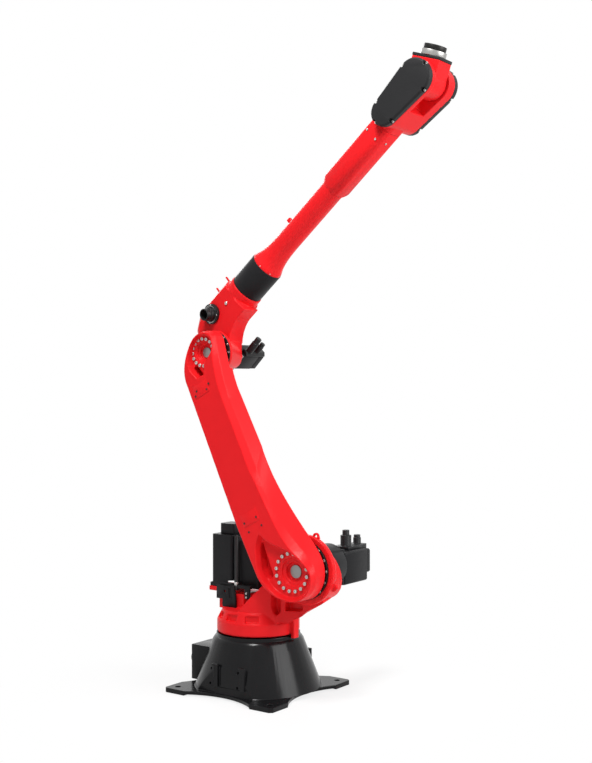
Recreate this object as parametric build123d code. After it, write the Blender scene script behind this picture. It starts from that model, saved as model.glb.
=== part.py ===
"""Six-axis industrial robot arm of the 2.1 m class, standing on its own foot plate.

Millimetres, +Z up, +X towards the reach of the arm, +Y to the arm's own left.
The origin is on the first axis, at the underside of the foot plate.
"""

from build123d import *

import os
from math import asin, cos, radians, sin

# Axes of the arm

SHOULDER_X = 248.0          # second axis, ahead of the first axis
SHOULDER_Z = 424.0          # second axis, above the floor
LOWER_LINK = 770.0          # second axis to third axis
LOWER_LEAN = -27.6          # lower arm leans back from vertical, degrees
FOREARM_RISE = 120.0        # forearm axis above the third axis
FOREARM_LINK = 1085.0       # third axis to fifth axis, along the forearm
FOREARM_PITCH = 40.9        # forearm above horizontal, degrees
WRIST_BEND = 31.0           # tool axis above the forearm axis, degrees
TOOL_REACH = 108.0          # fifth axis to the face of the tool flange
JOINT_GAP = 0.3             # running gap between faces that turn on each other

# Foot plate and base casting

PLATE_HALF = 220.0
PLATE_THICK = 15.0
FOOT_WIDTH = 87.0
FOOT_RELIEF = 4.0           # the plate between the feet stands this far off the floor
PLATE_HOLLOW = 38.0         # how far each side of the plate is hollowed between the feet
FOOT_BEVEL = 9.0
FOOT_HOLE_R = 9.0
FOOT_HOLE_AT = 187.0
CONE_FOOT_R = 209.0
CONE_TOP_R = 149.0
CONE_TOP_Z = 169.0
BASE_RIM_R = 138.0
BASE_RIM_Z = 190.0
BASE_FLAT_Y = 176.0         # vertical flats on the two sides of the cone
SIDE_BAR_THICK = 9.0
SIDE_BAR_Z = (38.0, 110.0)
SIDE_BAR_X = ((-40.0, -22.0), (68.0, 86.0))
SIDE_HOOK = 7.0             # the head of each bar reaches back by this much
SIDE_SCREW_X = (-60.0, 51.0)
SIDE_SCREW_Z = (43.2, 89.3)
M8_TAP_R = 3.4
BOX_X = (-222.0, -100.0)
BOX_HALF_Y = 80.0
BOX_TOP_Z = 131.0

# Turret

RING_R = 136.0
RING_FOOT_Z = 194.0
RING_EDGE_Z = 232.0
RING_TOP_R = 118.0
RING_TOP_Z = 266.0
BARREL_R = 113.0
FLANGE_R = 110.0            # flange that carries the second axis
FLANGE_Y = (-88.0, -70.0)
GEAR_R = 93.5               # gear unit of the second axis
GEAR_FACE_Y = -94.7
GEAR_DISC_R = 78.0
ADAPTER_R = 68.0            # round adapter between the gear unit and its motor
ADAPTER_Y = 54.0
DRUM_R = 104.0              # drum under the second axis, cut off by a slanting plane
DRUM_END_Y = 45.0
DRUM_CUT_Y = -37.0          # the slanting plane crosses the height of the axis here
DRUM_SLANT = 0.5            # how far it goes back for each millimetre down
PROW_Y = (-62.0, 36.0)
LEDGE_Z = (313.0, 328.0)
TURRET_MOTOR_X = -122.0
TURRET_MOTOR_SIZE = 85.0
TURRET_MOTOR_TOP = 502.0
SHOULDER_MOTOR_SIZE = 100.0
SHOULDER_MOTOR_Y = (66.0, 197.0)
SHOULDER_MOTOR_Z = 411.0
LEAD_AT = (-57.0, -45.0)     # upright cable lead beside the first motor
LEAD_R = 6.2
LEAD_Z = (335.0, 503.0)
WINDOW_LENGTH = 170.0       # opening under the first motor, seen from the front right

# Lower arm

ARM_FACE_Y = -172.0         # outer face
ARM_EDGE_Y = -152.0         # sharp edge between the bevel and the front face
ARM_INNER_Y = -101.0        # inner face, against the gear unit of the second axis
ELBOW_FACE_Y = -112.0       # inner face of the upper end, against that of the third axis
ELBOW_FACE_Z = 688.0
POCKET_FLOOR_Y = -151.0
POCKET_DEEP_Y = -116.0
SHOULDER_STEPS = ((50.0, 3.0), (42.0, 10.0), (31.0, 22.0))      # ring radius, depth
ELBOW_STEPS = ((37.0, 3.0), (30.0, 10.0), (23.0, 19.0))
SHOULDER_PLUG_R = 20.5
ELBOW_PLUG_R = 16.5
PLUG_THICK = 3.0
PAD_THICK = 2.5
PAD_HOLES = (
    (-84, 203), (-32, 203), (-82, 172), (-26, 172),
    (-67, 662), (-11, 662), (-78, 649), (-26, 649))
M6_TAP_R = 2.5

# Elbow and forearm

HUB_R = 73.0
HUB_Y = (-100.0, -90.0)
HUB_TOP_Z = 38.0            # the hub is cut level here, ahead of the web
MOTOR_FACE_Y = 8.0          # face that the third motor is bolted to
BOSS_R = 40.0
ELBOW_GEAR_R = 71.0
ELBOW_DISC_R = 56.0
ELBOW_GEAR_Y = -104.0       # outer face of the gear unit of the third axis
CASTING_FLAT_Y = -58.0
BARREL_END_X = 157.0
ELBOW_BARREL_R = 65.0
COLLAR_R = 59.0
BAND_X0 = 186.0
BAND_X1 = 297.0
BAND_R = 56.5
TUBE_R = 37.2
HOUSING_X = (640.0, 905.0)
HOUSING_HALF_Y = 43.0
HOUSING_HALF_Z = 39.5
HOUSING_ROUND = 22.0
HOSE_X = 53.0
HOSE_Z = 127.0
HOSE_PIPE = 31.0
HOSE_TURN = -10.0           # the hose inlet points a little backwards, degrees
ELBOW_MOTOR_AT = (-6.0, -11.0)
ELBOW_MOTOR_TURN = -45.0
ELBOW_MOTOR_SIZE = 60.0
ELBOW_MOTOR_Y = (12.0, 126.0)
ELBOW_CAP_LENGTH = 28.0

# Wrist

COVER_THICK = 22.0
CHEEK_RIGHT_Y = -58.0
CHEEK_LEFT_Y = 78.0
FORK_GAP = 39.5
FORK_TIP_R = 57.0
FORK_HEEL_R = 44.6
FORK_LENGTH = 135.0
COVER_BEVEL = 5.0
SCREW_NOTCH_R = 7.0
BLOCK_HALF_Y = 37.0
BLOCK_R = 50.0
SEAL_X = (66.0, 75.0)
SEAL_HALF_Z = 49.0
REDUCER_R = 39.5
FLANGE_RADIUS = 35.0
FLANGE_X = 92.0
PILOT_R = 20.0
TOOL_BOLTS_R = 25.0


def at_shoulder(shape):
    """Move a shape drawn about an upright lower arm to its place on the robot."""
    return Pos(SHOULDER_X, 0, SHOULDER_Z) * Rot(0, LOWER_LEAN, 0) * shape


ELBOW_X = SHOULDER_X + LOWER_LINK * sin(radians(LOWER_LEAN))
ELBOW_Z = SHOULDER_Z + LOWER_LINK * cos(radians(LOWER_LEAN))


def at_elbow(shape):
    """Move a shape drawn about the third axis, with the forearm along +X, to its place."""
    return Pos(ELBOW_X, 0, ELBOW_Z) * Rot(0, -FOREARM_PITCH, 0) * shape


def at_wrist(shape):
    """Move a shape drawn about the fifth axis, with the tool axis along +X, to its place."""
    local = Pos(FOREARM_LINK, 0, FOREARM_RISE) * Rot(0, -WRIST_BEND, 0) * shape
    return at_elbow(local)


def rod_y(radius, y0, y1, x=0.0, z=0.0):
    """A cylinder along Y between two planes."""
    return Pos(x, (y0 + y1) / 2, z) * Rot(90, 0, 0) * Cylinder(radius, abs(y1 - y0))


def rod_x(radius, x0, x1, y=0.0, z=0.0):
    """A cylinder along X between two planes."""
    return Pos((x0 + x1) / 2, y, z) * Rot(0, 90, 0) * Cylinder(radius, abs(x1 - x0))


def rod_z(radius, z0, z1, x=0.0, y=0.0):
    """A cylinder along Z between two planes."""
    return Pos(x, y, (z0 + z1) / 2) * Cylinder(radius, abs(z1 - z0))


def block(x0, x1, y0, y1, z0, z1):
    """A box between opposite corners."""
    return Pos((x0 + x1) / 2, (y0 + y1) / 2, (z0 + z1) / 2) * Box(x1 - x0, y1 - y0, z1 - z0)


def at_y(face, y):
    """Stand a face drawn in X and Z on the plane at this Y."""
    return Plane.XZ.offset(-y) * face


def slab_xz(face, y0, y1):
    """A face drawn in X and Z, made into a slab between two Y planes."""
    return extrude(at_y(face, y0), amount=y1 - y0, dir=(0, 1, 0))


def polygon(*points):
    return make_face(Polyline(*points, close=True))


def rounded(radius, *points):
    """Polygon with every corner rounded."""
    face = polygon(*points)
    return fillet(face.vertices(), radius)


def taper(big_r, small_r, length):
    """Outline of two unequal circles joined by their tangents, big one at the origin."""
    lean = asin((big_r - small_r) / length)
    near = (big_r * sin(lean), big_r * cos(lean))
    far = (length + small_r * sin(lean), small_r * cos(lean))
    return make_face(Wire([
        Line(near, far),
        ThreePointArc(far, (length + small_r, 0), (far[0], -far[1])),
        Line((far[0], -far[1]), (near[0], -near[1])),
        ThreePointArc((near[0], -near[1]), (-big_r, 0), near),
    ]))


def foot_plate():
    """Square plate with hollowed sides, standing on four feet at its corners."""
    plate = block(-PLATE_HALF, PLATE_HALF, -PLATE_HALF, PLATE_HALF, 0, PLATE_THICK)
    plate = chamfer(plate.edges().filter_by(Axis.Z), FOOT_BEVEL)
    chord = 2 * (PLATE_HALF - FOOT_WIDTH)
    hollow_r = (chord ** 2 / 4 + PLATE_HOLLOW ** 2) / (2 * PLATE_HOLLOW)
    bite = rod_z(hollow_r, -1, PLATE_THICK + 1, x=PLATE_HALF + hollow_r - PLATE_HOLLOW)
    for turn in range(4):
        plate -= Rot(0, 0, 90 * turn) * bite
    inner = PLATE_HALF - FOOT_WIDTH
    plate -= block(-inner, inner, -PLATE_HALF, PLATE_HALF, -1, FOOT_RELIEF)
    plate -= block(-PLATE_HALF, PLATE_HALF, -inner, inner, -1, FOOT_RELIEF)
    for sx in (-1, 1):
        for sy in (-1, 1):
            plate -= rod_z(FOOT_HOLE_R, -1, PLATE_THICK + 1, x=sx * FOOT_HOLE_AT, y=sy * FOOT_HOLE_AT)
    return plate


def side_bar(x0, x1, y0, y1):
    """Upright bar on the side of the base with a short hooked head."""
    low, high = SIDE_BAR_Z
    outline = polygon(
        (x0, low), (x1, low), (x1, high), (x0 - SIDE_HOOK, high), (x0 - SIDE_HOOK, high - SIDE_HOOK),
        (x0, high - SIDE_HOOK))
    corners = outline.vertices().sort_by(Axis.Z)
    return slab_xz(fillet(corners[:2] + outline.vertices().sort_by(Axis.X)[-1:], 2), y0, y1)


def base_casting():
    """Foot plate, cone with flats and bars, and the rim that the turret turns on."""
    profile = polygon(
        (0, PLATE_THICK), (CONE_FOOT_R, PLATE_THICK), (CONE_TOP_R, CONE_TOP_Z),
        (BASE_RIM_R + 4, CONE_TOP_Z + 9), (BASE_RIM_R, CONE_TOP_Z + 10), (BASE_RIM_R, BASE_RIM_Z),
        (0, BASE_RIM_Z))
    cone = revolve(Plane.XZ * profile, Axis.Z)
    cone &= block(-PLATE_HALF, PLATE_HALF, -BASE_FLAT_Y, BASE_FLAT_Y, 0, BASE_RIM_Z)
    for side in (-1, 1):
        y0, y1 = sorted((side * (BASE_FLAT_Y - 1), side * (BASE_FLAT_Y + SIDE_BAR_THICK)))
        for (x0, x1), screw_x in zip(SIDE_BAR_X, SIDE_SCREW_X):
            cone += side_bar(x0, x1, y0, y1)
            for z in SIDE_SCREW_Z:
                cone -= rod_y(M8_TAP_R, side * (BASE_FLAT_Y - 12), side * (BASE_FLAT_Y + 1), x=screw_x, z=z)
    return foot_plate() + cone


def travel_stop():
    """Block on the rear of the base that ends the turret's travel both ways."""
    ring = rod_z(149, 179, 208) - rod_z(140, 178, 209)
    return ring & block(-160, -100, -40, 40, 179, 208)


def junction_box():
    """Sheet box behind the cone, where the supply leads enter."""
    box = block(*BOX_X, -BOX_HALF_Y, BOX_HALF_Y, PLATE_THICK, BOX_TOP_Z)
    cone = Cone(CONE_FOOT_R + 0.4, CONE_TOP_R + 0.4, CONE_TOP_Z - PLATE_THICK)
    return box - Pos(0, 0, (CONE_TOP_Z + PLATE_THICK) / 2) * cone


def connector_panel():
    return block(BOX_X[0] - 4, BOX_X[0], -65, 65, 35, 115)


def base_connectors():
    face = BOX_X[0] - 4
    power = rod_x(22, face - 22, face, y=-30, z=78) - rod_x(16, face - 23, face - 6, y=-30, z=78)
    signal = rod_x(15, face - 17, face, y=28, z=78) - rod_x(10, face - 18, face - 6, y=28, z=78)
    return Compound([power, signal])


def turret_ring():
    """Turning ring with rectangular pockets round its sloping top."""
    profile = polygon(
        (0, RING_FOOT_Z), (RING_R - 3, RING_FOOT_Z), (RING_R, RING_FOOT_Z + 5), (RING_R, RING_EDGE_Z),
        (RING_TOP_R, RING_TOP_Z), (0, RING_TOP_Z))
    ring = revolve(Plane.XZ * profile, Axis.Z)
    pocket = block(RING_TOP_R - 2, RING_R + 4, -22, 22, RING_EDGE_Z + 5, RING_TOP_Z - 7)
    for azimuth in (-62, -96, -129, 62, 96, 129):
        ring -= Rot(0, 0, azimuth) * pocket
    return ring


def turret_barrel():
    """Round barrel, cut by a slope that rises to the second axis, with a prow ahead of it."""
    barrel = rod_z(BARREL_R, RING_TOP_Z - 10, 470)
    prow = Plane.XY.offset(RING_TOP_Z - 26) * polygon(
        (60, -96), (120, -62), (205, -48), (262, -60), (300, -60), (300, 34), (200, 40), (120, 62), (60, 96))
    body = barrel + extrude(prow, amount=230)
    top = [(-114, 236), (-114, 268), (2, 268), (150, 437), (184, 474), (200, 474), (200, 424),
        (SHOULDER_X, 416)]
    near = polygon(*top, (350, 405), (350, 366), (333, 342), (293, 315), (237, 286), (216, 267),
        (184, 251), (162, 236))
    far = polygon(*top, (306, 405), (306, 366), (292, 341), (262, 316), (206, 282), (172, 264),
        (142, 249), (122, 236))
    kept = loft([at_y(near, PROW_Y[0]), at_y(far, PROW_Y[1])], ruled=True)
    kept += slab_xz(near, -120, PROW_Y[0]) + slab_xz(far, PROW_Y[1], 120)
    return body & kept


def shoulder_housing():
    """Flange that carries the second axis, and the drum under it that a slanting plane cuts off."""
    flange = rod_y(FLANGE_R, FLANGE_Y[0], FLANGE_Y[1] - 4, x=SHOULDER_X, z=SHOULDER_Z)
    shoulder = Rot(-90, 0, 0) * Cone(FLANGE_R, DRUM_R, 12)
    flange += Pos(SHOULDER_X, FLANGE_Y[1] + 2, SHOULDER_Z) * shoulder
    y0, y1 = FLANGE_Y[1] - 1, DRUM_END_Y
    drum = rod_y(DRUM_R, y0, y1, x=SHOULDER_X, z=SHOULDER_Z)
    z0, z1 = [(DRUM_CUT_Y - y) / DRUM_SLANT for y in (y0, y1)]
    kept = Plane.YZ * polygon((y0, z1 - 1), (y0, z0), (y1, z1), (y1, z1 - 1))
    kept = Pos(SHOULDER_X, 0, SHOULDER_Z) * extrude(kept, amount=DRUM_R + 1, both=True)
    return flange + (drum & kept)


def turret_casting():
    """Turning ring, barrel, shoulder housing and the ledge that carries the first motor."""
    pedestal = block(-126, -22, -50, 50, RING_TOP_Z - 6, LEDGE_Z[0])
    ledge = block(-172, -70, -47, 47, *LEDGE_Z)
    tongue = block(141, 154, -12, 14, 184, 250) + block(120, 154, -12, 14, 200, 262)
    casting = turret_ring() + turret_barrel() + shoulder_housing() + pedestal + ledge + tongue
    notch = polygon((105, 330), (105, 288), (112, 268), (120, 263), (128, 268), (135, 279), (135, 330))
    casting -= slab_xz(notch, -110, -40)
    casting -= slab_xz(rounded(6, (151, 280), (206, 284), (217, 291), (217, 302), (206, 310),
        (151, 308)), -75, -30)
    lug = polygon((77, -31), (100, -27), (115, -49), (104, -60), (80, -62))
    casting += Pos(SHOULDER_X, 0, SHOULDER_Z) * slab_xz(lug, FLANGE_Y[1] - 2, FLANGE_Y[1] + 8)
    return casting - rod_y(ADAPTER_R, FLANGE_Y[1], ADAPTER_Y + 1, x=SHOULDER_X, z=SHOULDER_Z)


def lifting_eye():
    """Plate with an eye on top of the shoulder flange, where the arm is lifted."""
    outline = make_face(Wire([
        Line((22, 98), (26, 108)),
        ThreePointArc((26, 108), (37, 117), (47, 109)),
        Line((47, 109), (53, 88)),
        Line((53, 88), (22, 98)),
    ]))
    plate = Pos(SHOULDER_X, 0, SHOULDER_Z) * slab_xz(outline, -78, -70)
    plate -= rod_y(5, -80, -68, x=SHOULDER_X + 37, z=SHOULDER_Z + 106)
    return plate - rod_y(FLANGE_R, *FLANGE_Y, x=SHOULDER_X, z=SHOULDER_Z)


def servo(size, length, bevel=5.0):
    """Square motor body along +Z."""
    body = Pos(0, 0, length / 2) * Box(size, size, length)
    return chamfer(body.edges().filter_by(Axis.Z), bevel)


def plug(radius, cap_radius, length):
    """Round connector along +Z with a narrower screw cap."""
    return rod_z(radius, 0, length * 0.68) + rod_z(cap_radius, length * 0.68 - 1, length)


def turret_motor_nodes():
    """First-axis motor, standing on the ledge: body, rear cap, terminal box and leads."""
    z0 = LEDGE_Z[1]
    x, half = TURRET_MOTOR_X, TURRET_MOTOR_SIZE / 2
    flange = block(x - 47, x + 47, -46, 46, z0, z0 + 13)
    body = Pos(x, 0, z0 + 13) * servo(TURRET_MOTOR_SIZE, TURRET_MOTOR_TOP - z0 - 13)
    cap = Pos(x + 12, 0, TURRET_MOTOR_TOP) * servo(60, 36)
    terminals = block(x + half, -57, -30, 34, 345, 500) + block(-57, 22, -28, 40, 330, 486)
    lead = rod_z(LEAD_R, *LEAD_Z, x=LEAD_AT[0], y=LEAD_AT[1])
    lead += block(LEAD_AT[0] - 10, LEAD_AT[0] + 10, -56, LEAD_AT[1] + 7, LEAD_Z[0] - 10, LEAD_Z[0] + 2)
    return {
        "turret_motor": flange + body - motor_window(),
        "turret_motor_cap": cap,
        "turret_motor_terminals": terminals,
        "motor_lead": lead,
    }


def motor_window():
    """Slanting opening through the foot of the first motor."""
    middle = Pos(-112, 0, (LEDGE_Z[1] + 350) / 2) * Rot(0, 0, 129) * Rot(0, 9.6, 0)
    return middle * Box(WINDOW_LENGTH, 26, 8)


def shoulder_motor_nodes():
    """Second-axis motor, lying along Y behind the shoulder: adapter, body, cap and connectors."""
    half = SHOULDER_MOTOR_SIZE / 2
    y0, y1 = SHOULDER_MOTOR_Y
    z = SHOULDER_MOTOR_Z
    adapter = rod_y(ADAPTER_R, FLANGE_Y[1], ADAPTER_Y, x=SHOULDER_X, z=SHOULDER_Z)
    adapter += block(SHOULDER_X - half, SHOULDER_X + half, ADAPTER_Y, y0, z - half, z + half + 14)
    body = Pos(SHOULDER_X, y0, z) * Rot(-90, 0, 0) * servo(SHOULDER_MOTOR_SIZE + 4, y1 - y0)
    cap = Pos(SHOULDER_X, y1, z + 8) * Rot(-90, 0, 0) * servo(78, 38)
    top = z + half + 2
    deck = block(SHOULDER_X - 30, SHOULDER_X + 30, 118, y1, top, top + 11)
    deck += block(SHOULDER_X - 26, SHOULDER_X + 26, y1, y1 + 36, z + 47, top + 11)
    deck += Pos(SHOULDER_X, 148, top + 10) * plug(18, 11.5, 52)
    deck += Pos(SHOULDER_X, y1 + 18, top + 10) * plug(13, 11, 30)
    return {
        "shoulder_adapter": adapter,
        "shoulder_motor": body,
        "shoulder_motor_cap": cap,
        "shoulder_motor_terminals": deck,
    }


def cable_bracket():
    """Black angle plates beside the first motor that hold the cable bundle."""
    plate = polygon(
        (-128, 293), (-128, 341), (-92, 336), (-62, 341), (-54, 339), (-47, 300), (-47, 268.3), (-103, 268.3),
        (-103, 293))
    front = slab_xz(plate, -62, -56) - rod_y(4, -63, -55, x=-93, z=318.6)
    front -= slab_xz(rounded(3, (-74, 297), (-58, 297), (-64, 330), (-78, 330)), -63, -59)
    foot = block(-126, -60, -56, -50.5, 296, 312)
    return front + foot


def cable_clip():
    plate = slab_xz(rounded(5, (-14, 300), (8, 300), (8, 343), (-14, 343)), -57, -52)
    return plate + block(-46, 8, -57, -42, 333, 343)


def arm_face_outline():
    """Outline of the lower arm's outer face; X is forward, Z runs up the link."""
    return make_face(Wire([
        Line((-118, 33), (-119, 215)),
        Line((-119, 215), (-97, 712)),
        Spline((-97, 712), (-79, 760), (-42, 800), (-8, 822), (30, 825), (56, 812), (67, 793)),
        Spline((67, 793), (42, 736), (15, 589)),
        Line((15, 589), (8, 344)),
        Spline((8, 344), (21, 150), (45, 47), (69, 0), (74, -37), (50, -72), (0, -91), (-62, -64),
            (-101, -18), (-118, 33)),
    ]))


def arm_edge_outline():
    """Outline of the lower arm at the sharp edge, a little outside that of its face."""
    return make_face(Wire([
        Line((-119, 33), (-120, 215)),
        Line((-120, 215), (-99, 712)),
        Spline((-99, 712), (-82, 762), (-44, 803), (-9, 824), (32, 828), (60, 817), (71, 793)),
        Spline((71, 793), (50, 722), (27, 589)),
        Line((27, 589), (24, 344)),
        Spline((24, 344), (34, 150), (58, 72), (78, 20), (82, -32), (58, -72), (0, -92), (-63, -64),
            (-103, -18), (-119, 33)),
    ]))


def arm_inner_outline():
    """Outline of the lower arm at the gear units, where it is widest."""
    return make_face(Wire([
        Line((-120, 33), (-121, 215)),
        Line((-121, 215), (-100, 712)),
        Spline((-100, 712), (-83, 763), (-45, 805), (-9, 826), (30, 830), (56, 818), (67, 780)),
        Spline((67, 780), (54, 712), (41, 630), (41, 589)),
        Line((41, 589), (41, 416)),
        Spline((41, 416), (50, 217), (74, 100), (87, 40), (88, -18), (62, -66), (0, -93), (-64, -64),
            (-104, -18), (-120, 33)),
    ]))


def shoulder_pocket():
    """Pocket round the second axis: rim on the outer face, floor, and the slot in its floor."""
    rim = Spline(
        (-45, 148), (-14, 101), (20, 70), (42, 42), (62, 3), (70, -36), (50, -67), (0, -86), (-52, -66),
        (-86, -28),
        (-102, 14), (-106, 56), (-94, 92), (-68, 138), periodic=True)
    floor = Spline(
        (-50, 136), (-20, 95), (15, 65), (37, 38), (56, 1), (64, -34), (45, -61), (0, -78), (-48, -60),
        (-80, -26),
        (-95, 12), (-98, 52), (-87, 84), (-66, 128), periodic=True)
    slot = rounded(3, (-62, 136), (-80, 112), (-96, 84), (-103, 52), (-99, 26), (-90, 12), (-72, 18),
        (-67, 78))
    return make_face(rim), make_face(floor), slot


def elbow_pocket():
    """Pocket round the third axis, drawn like the one at the shoulder."""
    rim = Spline(
        (57, 790), (40, 815), (8, 824), (-24, 812), (-54, 781), (-66, 742), (-54, 708), (-40, 686),
        (-22, 691),
        (-2, 726), (39, 747), periodic=True)
    floor = Spline(
        (50, 787), (34, 808), (8, 816), (-20, 804), (-46, 776), (-55, 742), (-48, 712), (-38, 694),
        (-25, 698),
        (-8, 732), (35, 754), periodic=True)
    slot = rounded(3, (-59, 747), (-60, 722), (-51, 702), (-40, 690), (-33, 697), (-37, 721), (-45, 742))
    return make_face(rim), make_face(floor), slot


def sunk(outlines):
    """The hollow of a pocket: sloping wall, flat floor and the deeper slot in it."""
    rim, floor, slot = outlines
    wall = loft([at_y(rim, ARM_FACE_Y), at_y(floor, POCKET_FLOOR_Y)], ruled=True)
    return wall + slab_xz(rim, ARM_FACE_Y - 3, ARM_FACE_Y) + slab_xz(slot, POCKET_FLOOR_Y - 1, POCKET_DEEP_Y)


def stepped_recess(steps, z=0.0):
    """Rings that step inwards to the shaft plug, each with a radius and a depth behind the floor."""
    recess = None
    for radius, depth in steps:
        ring = rod_y(radius, POCKET_FLOOR_Y - 1, POCKET_FLOOR_Y + depth, z=z)
        recess = ring if recess is None else recess + ring
    return recess


def hole_pad(x, z, length):
    """Wedge that rises from the arm's face to a low step at its lower end."""
    wedge = block(-length / 2, length / 2, 0, 8, 0, 58)
    wedge = fillet(wedge.edges().filter_by(Axis.Y).group_by(Axis.Z)[0], 6)
    return Pos(x, ARM_FACE_Y - PAD_THICK, z) * Rot(-2.6, 0, 0) * wedge


def lower_arm():
    """Cast link with a bevelled front, pocketed round both gear units."""
    arm = loft([at_y(arm_face_outline(), ARM_FACE_Y), at_y(arm_edge_outline(), ARM_EDGE_Y)], ruled=True)
    arm += loft([at_y(arm_edge_outline(), ARM_EDGE_Y), at_y(arm_inner_outline(), ARM_INNER_Y)], ruled=True)
    arm -= block(-120, 120, ELBOW_FACE_Y, ARM_INNER_Y + 1, ELBOW_FACE_Z, LOWER_LINK + 100)
    arm -= sunk(shoulder_pocket())
    arm -= sunk(elbow_pocket())
    arm -= stepped_recess(SHOULDER_STEPS)
    arm -= stepped_recess(ELBOW_STEPS, z=LOWER_LINK)
    for x, z, length in ((-57, 192, 66), (-48, 641, 62)):
        arm += hole_pad(x, z, length)
    for x, z in PAD_HOLES:
        arm -= rod_y(M6_TAP_R, ARM_FACE_Y - 4, ARM_FACE_Y + 10, x=x, z=z)
    return arm


def elbow_casting():
    """Hub of the third axis, barrel and collar of the fourth, and the web between them."""
    hub = rod_y(HUB_R, *HUB_Y)
    barrel = rod_x(ELBOW_BARREL_R, 10, BARREL_END_X, z=FOREARM_RISE)
    barrel += Pos(-20, 0, FOREARM_RISE) * Rot(0, 90, 0) * Cone(38, ELBOW_BARREL_R, 60)
    collar = rod_x(COLLAR_R, BARREL_END_X - 1, BAND_X0, z=FOREARM_RISE)
    web = make_face(Wire([
        Line((-50, -20), (-40, 80)),
        Line((-40, 80), (-27, 120)),
        ThreePointArc((-27, 120), (-14, 136), (12, 144)),
        Line((12, 144), (77, 160)),
        Line((77, 160), (BARREL_END_X, 160)),
        Line((BARREL_END_X, 160), (BARREL_END_X, 90)),
        Line((BARREL_END_X, 90), (166, 44)),
        Line((166, 44), (120, 44)),
        ThreePointArc((120, 44), (78, 30), (46, 5)),
        Line((46, 5), (-50, -20)),
    ]))
    rear = polygon(
        (-50, 20), (-50, 112), (-46, 142), (-31, 158), (-10, 166), (62, 187), (BARREL_END_X, 188),
        (BARREL_END_X, 20))
    barrel &= slab_xz(rear, CASTING_FLAT_Y, 70)
    body = slab_xz(web, CASTING_FLAT_Y, 14)
    seat = ELBOW_MOTOR_SIZE / 2 + 2
    room = Pos(ELBOW_MOTOR_AT[0], 0, ELBOW_MOTOR_AT[1]) * Rot(0, ELBOW_MOTOR_TURN, 0)
    room *= block(-seat, seat, MOTOR_FACE_Y, ELBOW_MOTOR_Y[1], -seat, seat)
    return hub + barrel + body + collar + motor_boss() - Rot(0, FOREARM_PITCH, 0) * room


def motor_boss():
    """What joins the hub to the third motor: a cone, a front wall and a turned square end."""
    x, z = ELBOW_MOTOR_AT
    half = ELBOW_MOTOR_SIZE / 2 + 1
    cone = loft([
        at_y(Circle(HUB_R - 2), HUB_Y[1] - 1),
        at_y(Pos(x, z) * Circle(BOSS_R), MOTOR_FACE_Y),
    ])
    cone &= block(-120, 120, HUB_Y[1] - 2, MOTOR_FACE_Y, -120, HUB_TOP_Z)
    square = Pos(x, 0, z) * Rot(0, ELBOW_MOTOR_TURN, 0) * block(-half, half, -30, MOTOR_FACE_Y, -half, half)
    wall = slab_xz(polygon((-40, -30), (33.5, -12), (33.5, 38), (-40, 60)), CASTING_FLAT_Y, MOTOR_FACE_Y)
    return Rot(0, FOREARM_PITCH, 0) * (cone + square + wall)


def hose_inlet():
    """Round flange and pipe stub on the casting's side, where the cable hose is pushed in."""
    inlet = rod_y(34, -6, 6) + rod_y(20, -6 - HOSE_PIPE, -5) + rod_y(23, -20, -5)
    inlet -= rod_y(16.5, -7 - HOSE_PIPE, -3)
    inlet = Pos(HOSE_X, CASTING_FLAT_Y, HOSE_Z) * Rot(0, 0, HOSE_TURN) * inlet
    return inlet - slab_xz(polygon((0, 0), (200, 0), (200, 300), (0, 300)), CASTING_FLAT_Y, 0)


def cable_hooks():
    """Two small flat hooks on top of the elbow for the outside cable."""
    hooks = [block(x, x + 5, -6, 0, FOREARM_RISE + 60, FOREARM_RISE + 91) for x in (92, 146)]
    barrel = rod_x(ELBOW_BARREL_R + 0.1, 0, BARREL_END_X, z=FOREARM_RISE)
    return Compound([hook - barrel for hook in hooks])


def elbow_motor_nodes():
    """Third-axis motor with its flange, cap and two connectors."""
    y0, y1 = ELBOW_MOTOR_Y
    place = Pos(ELBOW_X + ELBOW_MOTOR_AT[0], 0, ELBOW_Z + ELBOW_MOTOR_AT[1]) * Rot(0, ELBOW_MOTOR_TURN, 0)
    half = ELBOW_MOTOR_SIZE / 2
    flange = block(-half - 1, half + 1, MOTOR_FACE_Y, y0, -half - 1, half + 1)
    body = Pos(0, y0, 0) * Rot(-90, 0, 0) * servo(ELBOW_MOTOR_SIZE, y1 - y0 - ELBOW_CAP_LENGTH, 3)
    cap = Pos(0, y1 - ELBOW_CAP_LENGTH, 0) * Rot(-90, 0, 0) * servo(ELBOW_MOTOR_SIZE - 1.6, ELBOW_CAP_LENGTH, 3)
    lead = Rot(0, 90, 0)
    deck = half + 13
    terminals = block(half, deck, y0 + 12, y1 - 1, -half, -half + 25)
    low_edge = terminals.edges().filter_by(Axis.Y).group_by(Axis.X)[-1].sort_by(Axis.Z)[0]
    terminals = chamfer(low_edge, 9)
    terminals += Pos(deck - 1, y0 + 30, -half + 12) * lead * plug(12.2, 10.5, 60)
    terminals += Pos(deck - 1, y0 + 72, -half + 12) * lead * plug(10, 9, 38)
    return {
        "elbow_motor_flange": place * flange,
        "elbow_motor": place * body,
        "elbow_motor_cap": place * cap,
        "elbow_motor_terminals": place * terminals - place * body - place * cap,
    }


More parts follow.
